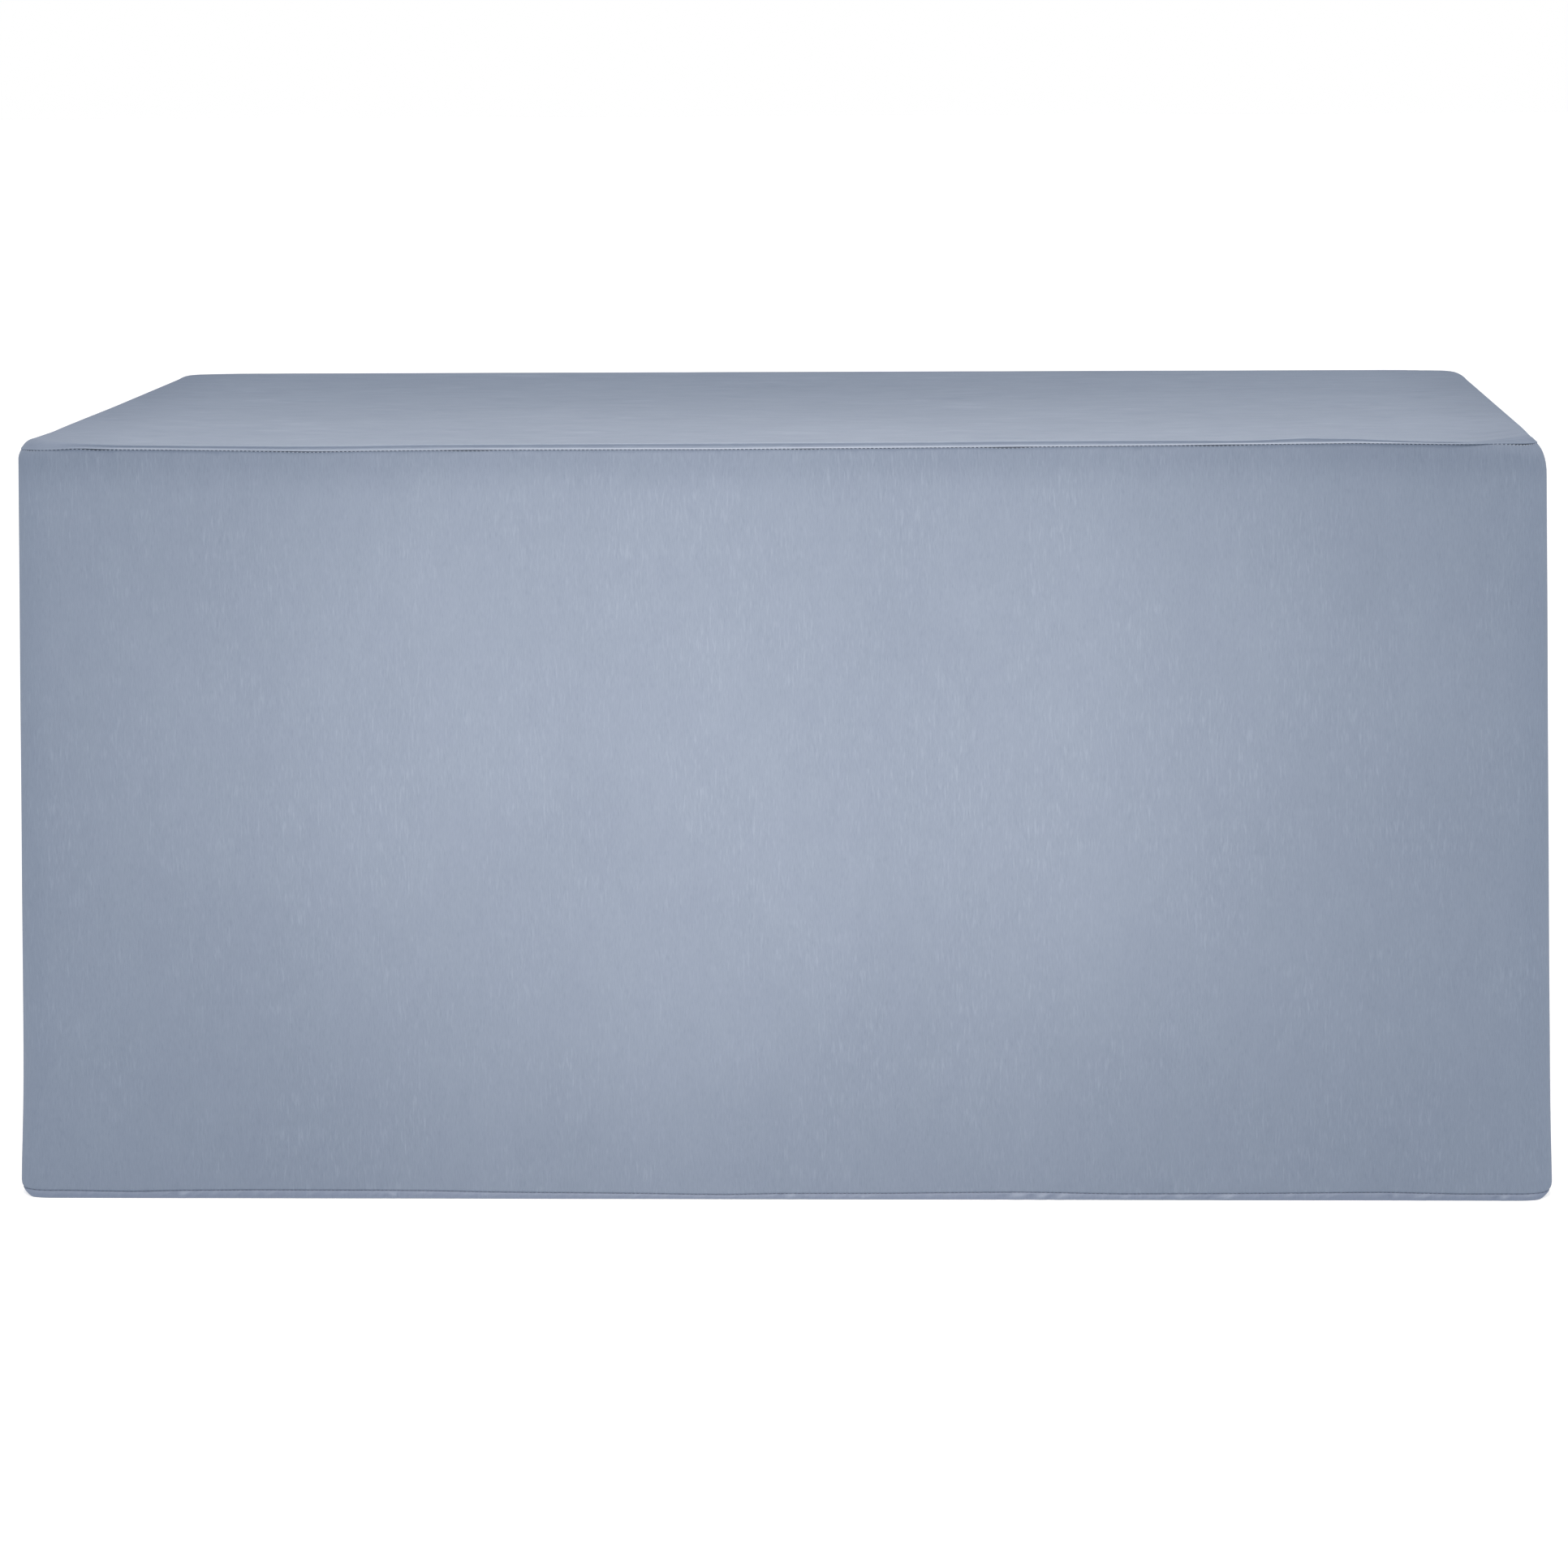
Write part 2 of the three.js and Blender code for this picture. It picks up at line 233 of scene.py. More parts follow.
# The rim and the strip over it, along the cloth from its lower fold: a lip as deep as it is
# wide, a crest, a pressed hollow, the edge's fold as a faint ridge, and a crease behind it.
rim_lip = 0.6 * mm
rim_crest = 0.6 * mm
rim_crest_at = 0.75 * mm
rim_crest_half = 0.5 * mm
rim_light_half = 0.6 * mm
strip_least = 3 * mm
strip_most = 8 * mm
hollow_starts = 1.5 * mm
hollow_ends = 0.8 * mm
hollow_full_depth = 1.6 * mm
fold_ridge = 0.25 * mm
fold_half = 0.55 * mm
crease_behind = 1.6 * mm
crease_half = 0.6 * mm
# fold_light paints a highlight on the edge's fold; hollow_shade paints shade in the hollow over the
# rim.
fold_light = 0.3
hollow_shade = 0.6


def places_out(core, outward, out, up):
    """Points out past the cover's corner arcs and at a height, a row for each core point."""
    reach = corner_radius + out
    flat = [core[:, None, axis] + outward[:, None, axis] * reach for axis in (0, 1)]
    return np.stack([*flat, up], axis=-1)


def turned_edge(distance, near_rim, inward_shares):
    """The top's edge, over the cloth from its rim inwards: points, normals, the painted highlight
    and shade on the cloth, and the length of cloth from the rim and from the inner end. near_rim
    holds lengths, inward_shares shares of what is left. The rim is a rounded fold over a hollow."""
    core, outward = round_cover(distance)
    rise, reach = roll_rise(distance), roll_reach(distance)
    seam = cover_height - seam_depth(distance)
    crispness = 1 - smoothstep((rise - crisp_until) / crisp_fade)
    inner = core + outward * (corner_radius - reach)[:, None]
    roll_top = top_height(inner[:, 0], inner[:, 1])
    stand = wall_stand(distance, roll_top - rise)
    rise = rise + crispness * (crisp_rise - rise)
    reach = reach + crispness * (crisp_reach - reach)
    roll_start = roll_top - rise
    first = np.arcsin(np.clip((seam - roll_start) / rise, 0, 1))
    shape = (len(distance), len(near_rim) + len(inward_shares))
    length, inner_length, at_out, at_up, lean_out, lean_up = np.zeros((6, *shape))
    for i in range(len(distance)):
        angle = np.linspace(first[i], math.pi / 2, roll_steps)
        drop_top = max(seam[i], roll_start[i]) + 0.001 * mm
        drop = np.linspace(seam[i], drop_top, drop_steps)[:-1]
        foot = np.full(len(drop), stand[i] - reach[i] * (1 - math.cos(first[i])))
        roll_out = stand[i] - reach[i] * (1 - np.cos(angle))
        roll_up = roll_start[i] + rise[i] * np.sin(angle)
        flat = np.linspace(stand[i] - reach[i], -corner_radius, flat_steps)[1:]
        flat_x = core[i, 0] + outward[i, 0] * (corner_radius + flat)
        flat_y = core[i, 1] + outward[i, 1] * (corner_radius + flat)
        out = np.concatenate([foot, roll_out, flat])
        up = np.concatenate([drop, roll_up, top_height(flat_x, flat_y)])
        step = np.hypot(np.diff(out), np.diff(up))
        gone = np.concatenate([[0], np.cumsum(step)])
        wanted = np.append(near_rim, near_rim[-1] + inward_shares * (gone[-1] - near_rim[-1]))
        length[i], inner_length[i] = wanted, gone[-1] - wanted
        for at, lean, line in ((at_out, lean_out, out), (at_up, lean_up, up)):
            at[i] = np.interp(wanted, gone, line)
            before, after = np.interp([wanted - probe, wanted + probe], gone, line)
            lean[i] = after - before
    points = places_out(core, outward, at_out, at_up)
    normals = [outward[:, None, 0] * lean_up, outward[:, None, 1] * lean_up, -lean_out]
    normals = np.stack(normals, axis=-1) / np.hypot(lean_out, lean_up)[:, :, None]
    strip = np.clip(roll_top - seam, strip_least, strip_most)[:, None]
    crisp = crispness[:, None]
    firm = firm_at_least + (1 - firm_at_least) * crisp
    hollow_half = (strip - hollow_starts - hollow_ends) / 2
    hollow = bump(length - hollow_starts - hollow_half, 0.75 * hollow_half)
    fold = bump(length - strip, fold_half) * crisp
    behind = bump(length - strip - crease_behind, crease_half)
    lip = rim_lip * (1 - smoothstep(length / rim_lip))
    crest = rim_crest * bump(length - rim_crest_at, rim_crest_half)
    sunk = hollow_full_depth * hollow_depth(distance)[:, None] * hollow
    creased = fold_crease(distance)[:, None] * mm * behind
    form = firm * (crest - sunk) - lip + fold_ridge * fold - creased
    # Painted highlights on the rim's crest and the edge's fold, and painted shade in the hollow
    # between them.
    painted_light = rim_light(distance)[:, None] * bump(length - rim_crest_at, rim_light_half)
    painted_light = painted_light + fold_light * fold - hollow_shade * hollow * crisp
    return points + normals * form[:, :, None], normals, painted_light, length, inner_length


def crease(x, y, start, end, width, depth):
    """A soft trough along the line from start to end, deepest in its middle."""
    (x0, y0), (x1, y1) = start, end
    length = math.hypot(x1 - x0, y1 - y0)
    along = ((x - x0) * (x1 - x0) + (y - y0) * (y1 - y0)) / length
    across = ((x - x0) * (y1 - y0) - (y - y0) * (x1 - x0)) / length
    ends = smoothstep(along / length * 2) * smoothstep((length - along) / length * 2)
    return -depth * ends * bump(across, width)


# The top's main creases, in mm: from, to, width, depth. A depth below nought is a ridge.
top_creases = [
    ((-766, 177), (-748, 120), 7, 1.0), ((-752, 128), (-690, 42), 8, 0.6),
    ((-742, 108), (-700, 30), 8, -0.5), ((-651, -255), (-616, -215), 8, 0.6),
    ((-690, -395), (-640, -452), 8, 1.1), ((-702, -418), (-655, -470), 7, -0.8),
    ((-640, -452), (-560, -470), 7, 0.6), ((-689, -352), (-625, -392), 10, 0.7),
    ((586, -30), (603, -112), 8, 1.0), ((601, -20), (618, -95), 7, -0.6),
    ((628, -5), (648, -78), 8, 1.0), ((640, 0), (664, -66), 7, -0.6),
    ((668, -118), (686, -166), 8, 0.9), ((590, 0), (622, -20), 9, 0.7),
    ((492, 92), (526, 34), 9, 0.6), ((748, -392), (780, -338), 10, 1.3),
    ((738, -372), (770, -318), 10, -0.8), ((752, -444), (780, -384), 9, 1.3),
    ((733, -496), (774, -440), 8, 1.2), ((722, -478), (764, -424), 8, -0.8),
    ((494, -253), (548, -231), 10, 0.6), ((401, -107), (446, -157), 9, 0.6),
    ((-329, -42), (-256, -18), 10, 0.6), ((66, 8), (134, -36), 9, 0.6),
    ((173, 132), (232, 100), 9, 0.6), ((-566, -178), (-512, -154), 9, 0.5),
    ((-507, -80), (-455, -111), 9, 0.5), ((277, -244), (330, -281), 9, 0.5),
    ((-141, -171), (-86, -134), 9, 0.5), ((-280, 232), (-220, 198), 10, 0.5),
]

# Small lumps all over the top. They and the creases fade out over the rolls at its two ends.
lump_count = 1500
lump_height = 0.42 * mm
lump_area = (780 * mm, 520 * mm)
lump_half_length = (10 * mm, 28 * mm)
lump_half_width = (6 * mm, 11 * mm)
lump_tilt = 0.25
lump_window = (90 * mm, 30 * mm)
smooth_rolls = (715 * mm, 790 * mm)


def top_relief(x, y):
    """How far the top's creases and small lumps lift it."""
    lift = np.zeros_like(x)
    for start, end, width, depth in top_creases:
        lift += mm * crease(x / mm, y / mm, start, end, width, depth)
    draw = np.random.default_rng(11)
    for _ in range(lump_count):
        place_x, place_y = (draw.uniform(-reach, reach) for reach in lump_area)
        half_length, half_width = draw.uniform(*lump_half_length), draw.uniform(*lump_half_width)
        tilt, height = draw.normal(0, lump_tilt), lump_height * draw.normal(0, 1)
        near = (abs(x - place_x) < lump_window[0]) & (abs(y - place_y) < lump_window[1])
        dx, dy = x[near] - place_x, y[near] - place_y
        lift[near] += height * bump(dx, half_length) * bump(dy - tilt * dx, half_width)
    begins, ends = smooth_rolls
    return lift * (1 - smoothstep((abs(x) - begins) / (ends - begins)))


# A painted highlight on raised places for each mm of their height, and painted shade at the top's
# ends.
relief_light = 0.12 / mm
end_shade = 0.75
shaded_end = 150 * mm


def lightness(x, relief):
    """The top's painted light: a painted highlight on its lumps, painted shade where its ends bend
    down.
    """
    at_end = 1 - smoothstep((cover_width / 2 - abs(x)) / shaded_end)
    return relief * relief_light - end_shade * at_end


def placed(name, data):
    thing = bpy.data.objects.new(name, data)
    bpy.context.scene.collection.objects.link(thing)
    return thing


def mark_points(mesh, name, values):
    """Writes a number, or a place of three numbers, to each of a mesh's points."""
    values = np.asarray(values)
    kind, field = ("FLOAT", "value") if values.ndim == 1 else ("FLOAT_VECTOR", "vector")
    mesh.attributes.new(name, kind, "POINT").data.foreach_set(field, values.ravel())


def sheet_of_cloth(name, points, threads, painted_light, doubled, faces, thickness):
    """A sheet as a closed mesh: its face, its back one thickness inside, and its cut edges.
    threads holds the cloth's own coordinates, across the warp and along it, in metres; the next
    array holds painted highlight above nought and painted shade below it, and doubled is 1 where
    the cloth is turned up."""
    skin = bpy.data.meshes.new(name)
    skin.from_pydata(points.tolist(), [], faces)
    mark_points(skin, "threads", np.column_stack([threads, np.zeros(len(threads))]))
    for mark, values in (("painted_light", painted_light), ("doubled", doubled), ("thickness", thickness)):
        mark_points(skin, mark, values)
    form = bmesh.new()
    form.from_mesh(skin)
    bmesh.ops.remove_doubles(form, verts=form.verts, dist=0.001 * mm)
    form.normal_update()
    form.verts.index_update()
    thread_layer = form.verts.layers.float_vector["threads"]
    layers = [form.verts.layers.float[mark] for mark in ("painted_light", "doubled", "thickness")]
    fronts = list(form.verts)
    panes = [[vert.index for vert in face.verts] for face in form.faces]
    rims = [
        (loop.vert.index, loop.link_loop_next.vert.index)
        for edge in form.edges
        if edge.is_boundary
        for loop in edge.link_loops
    ]
    backs = []
    for vert in fronts:
        back = form.verts.new(vert.co - vert.normal * vert[layers[2]])
        back[thread_layer] = vert[thread_layer]
        for layer in layers:
            back[layer] = vert[layer]
        backs.append(back)
    for pane in panes:
        form.faces.new([backs[i] for i in reversed(pane)])
    for a, b in rims:
        form.faces.new([fronts[b], fronts[a], backs[a], backs[b]])
    form.to_mesh(skin)
    form.free()
    skin.attributes.remove(skin.attributes["thickness"])
    skin.shade_smooth()
    return placed(name, skin)


def grid_faces(rows, columns, first=0, closed=False):
    """The quads of a grid of points that is stored row after row."""
    faces = []
    for i in range(rows if closed else rows - 1):
        for j in range(columns - 1):
            a = first + i * columns + j
            b = first + (i + 1) % rows * columns + j
            faces.append((a, b, b + 1, a + 1))
    return faces


def graded(length, fine, coarse, fine_reach):
    """Places from 0 to length, closer together near both ends."""
    place, places = 0.0, [0.0]
    while place < length / 2:
        place += fine + (coarse - fine) * smoothstep(place / fine_reach)
        places.append(place)
    half = np.array(places) * (length / 2 / places[-1])
    return np.concatenate([half, length - half[-2::-1]])


across_places = graded(front_run, 3 * mm, 9.5 * mm, 60 * mm)
deep_places = graded(side_run, 3.5 * mm, 9.5 * mm, 220 * mm)
corner_places = np.linspace(0, corner_arc, 18)[1:-1]
edge_distances = np.concatenate(
    [
        start + np.concatenate([places, places[-1] + corner_places])
        for start, places in (
            (front_start, across_places),
            (right_start, deep_places),
            (back_start, across_places),
            (left_start, deep_places),
        )
    ]
)
over_edge = mm * np.array(
    [0, 0.25, 0.5, 0.75, 1, 1.3, 1.7, 2.2, 2.8, 3.5, 4.2, 4.9, 5.6, 6.2, 6.7, 7.2, 7.7, 8.3, 9.2]
)
inward = np.array([0.05, 0.12, 0.2, 0.29, 0.39, 0.5, 0.62, 0.75, 0.88, 1])
edge_points, edge_normals, edge_painted_light, edge_length, inner_length = turned_edge(
    edge_distances, over_edge, inward
)
relief_starts = 4 * mm
relief_fade = 22 * mm
on_top = smoothstep((edge_normals[:, :, 2] - 0.6) / 0.35)
edge_fade = smoothstep((edge_length - relief_starts) / relief_fade)
edge_relief = on_top * edge_fade * top_relief(edge_points[:, :, 0], edge_points[:, :, 1])
edge_points[:, :, 2] += edge_relief
# The top's painted highlight on its lumps and painted shade at its two ends.
edge_painted_light += lightness(edge_points[:, :, 0], edge_relief)
edge_core, edge_outward = round_cover(edge_distances)
edge_threads = edge_core[:, None, :] + edge_outward[:, None, :] * inner_length[:, :, None]
edge_count = edge_length.size

field_x = across_places - front_run / 2
field_y = deep_places - side_run / 2
grid_x, grid_y = np.meshgrid(field_x, field_y, indexing="ij")
field_relief = top_relief(grid_x, grid_y)
field_z = top_height(grid_x, grid_y) + field_relief
# The field gets the same painted highlight on lumps and painted shade at the ends.
field_painted_light = lightness(grid_x, field_relief)
field_points = np.stack([grid_x, grid_y, field_z], axis=-1).reshape(-1, 3)

ring_faces = grid_faces(*edge_length.shape, closed=True)
field_faces = grid_faces(len(field_x), len(field_y), first=edge_count)
top_count = edge_count + len(field_points)
top_panel = sheet_of_cloth(
    "top_panel_cloth",
    np.concatenate([edge_points.reshape(-1, 3), field_points]),
    np.concatenate([edge_threads.reshape(-1, 2), field_points[:, :2]])[:, ::-1],
    np.concatenate([edge_painted_light.ravel(), field_painted_light.ravel()]),
    np.zeros(top_count),
    ring_faces + field_faces,
    np.full(top_count, cloth_thickness),
)


def slubbed_weave():
    """A plain weave with thick and thin places in its yarn and faint pressed creases. Its inputs
    are lengths in metres and strengths; Tone runs from dark to light yarn and holds the creases'
    painted highlight and shade, Hue marks the more violet patches of the dye, and Relief is the
    height of the yarn."""
    group = bpy.data.node_groups.new("slubbed weave", "ShaderNodeTree")
    face = group.interface
    for name, kind, value in (
        ("Threads", "NodeSocketVector", None),
        ("Slub Width", "NodeSocketFloat", 0.0022),
        ("Slub Length", "NodeSocketFloat", 0.03),
        ("Slub Strength", "NodeSocketFloat", 1.0),
        ("Yarn Pitch", "NodeSocketFloat", 0.0008),
        ("Crease Strength", "NodeSocketFloat", 0.0),
    ):
        socket = face.new_socket(name, in_out="INPUT", socket_type=kind)
        if value is not None:
            socket.default_value = value
    for name in ("Tone", "Hue", "Relief"):
        face.new_socket(name, in_out="OUTPUT", socket_type="NodeSocketFloat")
    nodes, links = group.nodes, group.links
    given = nodes.new("NodeGroupInput")
    made = nodes.new("NodeGroupOutput")

    def calc(operation, *values):
        node = nodes.new("ShaderNodeMath")
        node.operation = operation
        for i, value in enumerate(values):
            if isinstance(value, bpy.types.NodeSocket):
                links.new(value, node.inputs[i])
            else:
                node.inputs[i].default_value = value
        return node.outputs[0]

    def times(value, factor):
        return calc("MULTIPLY", value, factor)

    split = nodes.new("ShaderNodeSeparateXYZ")
    links.new(given.outputs["Threads"], split.inputs[0])
    across, along = split.outputs[0], split.outputs[1]

    def stretched_noise(width, length, detail, seed):
        place = nodes.new("ShaderNodeCombineXYZ")
        links.new(calc("DIVIDE", across, width), place.inputs[0])
        links.new(calc("DIVIDE", along, length), place.inputs[1])
        place.inputs[2].default_value = seed
        noise = nodes.new("ShaderNodeTexNoise")
        noise.inputs["Scale"].default_value = 1
        noise.inputs["Detail"].default_value = detail
        links.new(place.outputs[0], noise.inputs["Vector"])
        return noise.outputs["Fac"]

    def between(value, low, high):
        node = nodes.new("ShaderNodeMapRange")
        node.interpolation_type = "SMOOTHSTEP"
        links.new(value, node.inputs["Value"])
        node.inputs["From Min"].default_value = low
        node.inputs["From Max"].default_value = high
        return node.outputs["Result"]

    width, length = given.outputs["Slub Width"], given.outputs["Slub Length"]
    strength, pitch = given.outputs["Slub Strength"], given.outputs["Yarn Pitch"]
    slub = between(stretched_noise(width, length, 1.0, 3.1), 0.5, 0.78)
    thin = stretched_noise(times(width, 0.7), times(length, 0.5), 1.0, 7.7)
    thin = between(thin, 0.5, 0.8)
    patch = between(stretched_noise(0.07, 0.11, 2.0, 1.3), 0.3, 0.7)
    yarn = stretched_noise(pitch, 0.006, 0.0, 5.2)
    cloud = stretched_noise(0.16, 0.22, 2.0, 9.4)
    slubs = times(slub, calc("MULTIPLY_ADD", patch, 0.8, 0.2))
    tone = calc("MULTIPLY_ADD", times(slubs, strength), 0.32, 0.42)
    tone = calc("SUBTRACT", tone, times(thin, times(strength, 0.14)))
    uneven_yarn = times(calc("SUBTRACT", yarn, 0.5), 0.3)
    tone = calc("ADD", tone, times(uneven_yarn, strength))
    tone = calc("ADD", tone, times(calc("SUBTRACT", cloud, 0.5), 0.2))
    # The pressed creases lift the cloth in Relief, and in Tone their raised sides are painted
    # lighter and their hollows darker: painted highlight and shade.
    pressed = between(stretched_noise(0.018, 0.04, 4.0, 6.1), 0.2, 0.8)
    pressed = calc("SUBTRACT", pressed, 0.5)
    creases = times(pressed, given.outputs["Crease Strength"])
    tone = calc("ADD", tone, creases)
    links.new(tone, made.inputs["Tone"])
    links.new(between(stretched_noise(0.03, 0.05, 3.0, 2.6), 0.3, 0.7), made.inputs["Hue"])

    turn = calc("DIVIDE", math.pi, pitch)
    warp = calc("SINE", times(across, turn))
    weft = calc("SINE", times(along, turn))
    weave = calc("MULTIPLY_ADD", times(warp, weft), 0.5, 0.5)
    relief = calc("ADD", times(weave, 0.25), times(slubs, 0.5))
    relief = calc("ADD", relief, times(yarn, 0.4))
    relief = calc("MULTIPLY_ADD", creases, 6.0, relief)
    links.new(relief, made.inputs["Relief"])
    return group


weave_group = slubbed_weave()
light_yarn = (0.235, 0.285, 0.37)
dark_yarn = (0.125, 0.16, 0.225)
violet_yarn = (0.16, 0.19, 0.28)
# The pale colour that the painted highlights are mixed toward.
painted_highlight_colour = (0.33, 0.385, 0.48)


def plain_surface(name, roughness, specular):
    material = bpy.data.materials.new(name)
    material.use_nodes = True
    shader = material.node_tree.nodes["Principled BSDF"]
    shader.inputs["Roughness"].default_value = roughness
    shader.inputs["Specular IOR Level"].default_value = specular
    return material, shader


def woven_cloth(name, relief_height, weaving):
    """The cover's cloth: matt, solution-dyed polyester with a faint sheen. weaving holds the
    weave group's inputs."""
    material, shader = plain_surface(name, 0.85, 0.1)
    nodes, links = material.node_tree.nodes, material.node_tree.links
    shader.inputs["Sheen Weight"].default_value = 0.02
    shader.inputs["Sheen Roughness"].default_value = 0.5
    threads = nodes.new("ShaderNodeAttribute")
    threads.attribute_name = "threads"
    weave = nodes.new("ShaderNodeGroup")
    weave.node_tree = weave_group
    for socket, value in weaving.items():
        weave.inputs[socket].default_value = value
    links.new(threads.outputs["Vector"], weave.inputs["Threads"])

    def blended(share, under, over):
        mix = nodes.new("ShaderNodeMix")
        mix.data_type = "RGBA"
        links.new(share, mix.inputs["Factor"])
        for socket, colour in ((mix.inputs["A"], under), (mix.inputs["B"], over)):
            if isinstance(colour, bpy.types.NodeSocket):
                links.new(colour, socket)
            else:
                socket.default_value = (*colour, 1)
        return mix.outputs["Result"]

    def share_of(value, factor, more=None):
        node = nodes.new("ShaderNodeMath")
        node.operation = "MULTIPLY_ADD"
        links.new(value, node.inputs[0])
        node.inputs[1].default_value = factor
        node.inputs[2].default_value = 0
        if more is not None:
            links.new(more, node.inputs[2])
        return node.outputs[0]

    # Painted light and shade: above nought it lightens the tone and mixes in the pale painted
    # highlight colour, below nought it darkens the tone.
    painted_light = nodes.new("ShaderNodeAttribute")
    painted_light.attribute_name = "painted_light"
    doubled = nodes.new("ShaderNodeAttribute")
    doubled.attribute_name = "doubled"
    violet = share_of(weave.outputs["Hue"], 0.08, share_of(doubled.outputs["Fac"], 0.35))
    tone = share_of(painted_light.outputs["Fac"], 0.35, weave.outputs["Tone"])
    colour = blended(tone, dark_yarn, light_yarn)
    colour = blended(violet, colour, violet_yarn)
    colour = blended(share_of(painted_light.outputs["Fac"], 0.8), colour, painted_highlight_colour)
    links.new(colour, shader.inputs["Base Color"])
    relief = nodes.new("ShaderNodeBump")
    relief.inputs["Distance"].default_value = relief_height
    relief.inputs["Strength"].default_value = 1
    links.new(weave.outputs["Relief"], relief.inputs["Height"])
    links.new(relief.outputs["Normal"], shader.inputs["Normal"])
    return material


def sewn_in(sheet, node, cloth):
    sheet.data.materials.append(cloth)
    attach(sheet, "root")
    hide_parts(node)


top_weave = {"Slub Width": 4 * mm, "Slub Length": 20 * mm}
top_weave |= {"Slub Strength": 0.3, "Crease Strength": 0.14}
sewn_in(top_panel, "top_panel", woven_cloth("top panel cloth", 0.25 * mm, top_weave))

# The front panel: one piece from corner to corner, which runs on round both corners and is
# lapped over the side panels just behind them. Its hem is turned up twice and stitched.

return_length = 18 * mm
hem_thickness = 2.4 * mm
hem_crown = 0.6 * mm
hem_groove = 1.0 * mm
hem_groove_half = 0.75 * mm
hem_turn = 0.6 * mm
corner_tuck = 21 * mm
tuck_height = 14 * mm
tuck_fade = 60 * mm
tuck_curl = 0.9
corner_spread = 8 * mm
spread_height = 160 * mm

# Under the rim the wall leans in, then turns in sharply behind it and leaves a narrow gap.
gap_height = 0.5 * mm
gap_depth = 1.2 * mm
wall_lean = 0.6 * mm
lean_height = 11 * mm
# under_rim_shade paints shade on the wall under the rim, fading out over shade_height.
under_rim_shade = 0.6
shade_height = 52 * mm

# The drag lines' strength, the hem's own small folds, the puckers under the rim, and long
# faint waves over the whole wall: how far apart or how many, and how high.
drag_strength = 1.7
hem_fold_spacing = 7 * mm
hem_fold_most = 0.55 * mm
pucker_spacing = 9 * mm
pucker_height = 0.2 * mm
wave_count = 24
wave_height = 0.05 * mm

# The folded, topstitched upright edge: a lip, a crest, and the groove that its stitches draw.
lap_lip = 0.5 * mm
lap_crest = 0.4 * mm
lap_crest_at = 1.3 * mm
lap_groove = 0.45 * mm
lap_stitches_at = 3.6 * mm

# Where a wall's rows of points lie: shares of the hem, then mm from the hem's groove, under
# the rim and at the gap behind it.
rows_in_hem = np.array([0, 0.05, 0.12, 0.22, 0.34, 0.47, 0.6, 0.73, 0.86, 1])
rows_at_groove = mm * np.array(
    [-1.1, -0.75, -0.45, -0.15, 0.15, 0.45, 0.75, 1.1, 1.6, 2.4, 3.6, 6, 9, 14, 20, 28]
)
rows_between = 22
rows_under_rim = mm * np.array([60, 46, 36, 28, 22, 17, 13, 10, 7.4, 5.6])
rows_at_gap = mm * np.array([2.6, 1.8, 1.2, 0.75, 0.4, 0.12, -0.12, -0.35])
rows_behind_rim = mm * np.array([0, -0.5, -1])

# The height of the hem's stitching along the wall, in mm.
front_hem = [
    (0, 7.9), (70, 6.9), (120, 8.1), (200, 8.8), (330, 8.6), (390, 8.1), (440, 7.1),
    (540, 6.4), (600, 5.9), (650, 5.1), (690, 4.8), (745, 6.1), (850, 6.4), (950, 7.6),
    (1000, 8), (1100, 6.3), (1200, 6.9), (1300, 7.8), (1370, 8.5), (1450, 6.9), (1500, 7),
]

# Drag lines over the hem, in mm: from, to, width, depth. Below nought is a ridge.
front_drags = [
    ((74, 3), (90, 8), 2.6, 0.5), ((108, 7), (118, 3), 2.4, 0.6),
    ((116, 2), (128, 8), 2.4, -0.7), ((335, 7.5), (348, 2), 2.4, -0.7),
    ((345, 7), (352, 4), 2.2, 0.4), ((738, 1), (752, 6), 2.6, 0.7),
    ((748, 1), (764, 6.5), 2.6, -0.7), ((764, 1), (772, 5), 2.4, 0.6),
    ((800, 5.5), (806, 1.5), 2.2, -0.5), ((828, 4.6), (834, 1.5), 2.2, -0.7),
    ((966, 1), (990, 6), 2.8, 0.6), ((978, 1.5), (1002, 7), 2.6, -0.8),
    ((1000, 1), (1012, 7), 2.6, 0.8), ((1008, 1.5), (1026, 7), 2.6, -0.8),
    ((1024, 1), (1050, 7), 2.6, -0.8), ((1018, 1), (1040, 6.5), 2.4, 0.6),
    ((1096, 1.5), (1112, 5), 2.4, -0.5), ((1154, 2), (1166, 6), 2.6, -0.6),
    ((1180, 1), (1204, 6), 2.8, 0.4), ((1196, 1.5), (1222, 6.5), 2.8, -0.8),
    ((1372, 1), (1380, 7), 2.2, 0.7), ((1376, 1.5), (1388, 8), 2.2, -0.6),
    ((1400, 2), (1422, 7), 2.4, -0.5), ((1488, 1), (1500, 6), 2.2, -0.6),
    ((1480, 1), (1490, 5), 2.2, 0.5),
]


def hem_drawn_in(distance, height):
    """How far the wall is drawn in at its foot. The hem curls under at the ends' side of each
    corner; above it the cloth still stands out to a sharper corner than higher up."""
    at, length = along_run(distance)
    outward = round_cover(distance)[1]
    away = np.minimum(at, length - at)
    curl = tuck_curl * (1 - np.clip(height / tuck_height, 0, 1))
    to_the_side = smoothstep((abs(outward[:, 0]) - 0.55) / 0.4)
    near_corner = to_the_side * (1 - smoothstep(away / tuck_fade))
    tuck = corner_tuck * near_corner * (1 - np.sqrt(1 - curl**2))
    squareness = (2 * outward[:, 0] * outward[:, 1]) ** 2
    return tuck - corner_spread * squareness * (1 - smoothstep(height / spread_height))


def hem_line(table, start):
    """The height of the hem's stitching, at distances round the cover."""
    heights = soft_curve(table, 1, 30)
    return lambda distance: heights((distance - start) / mm) * mm


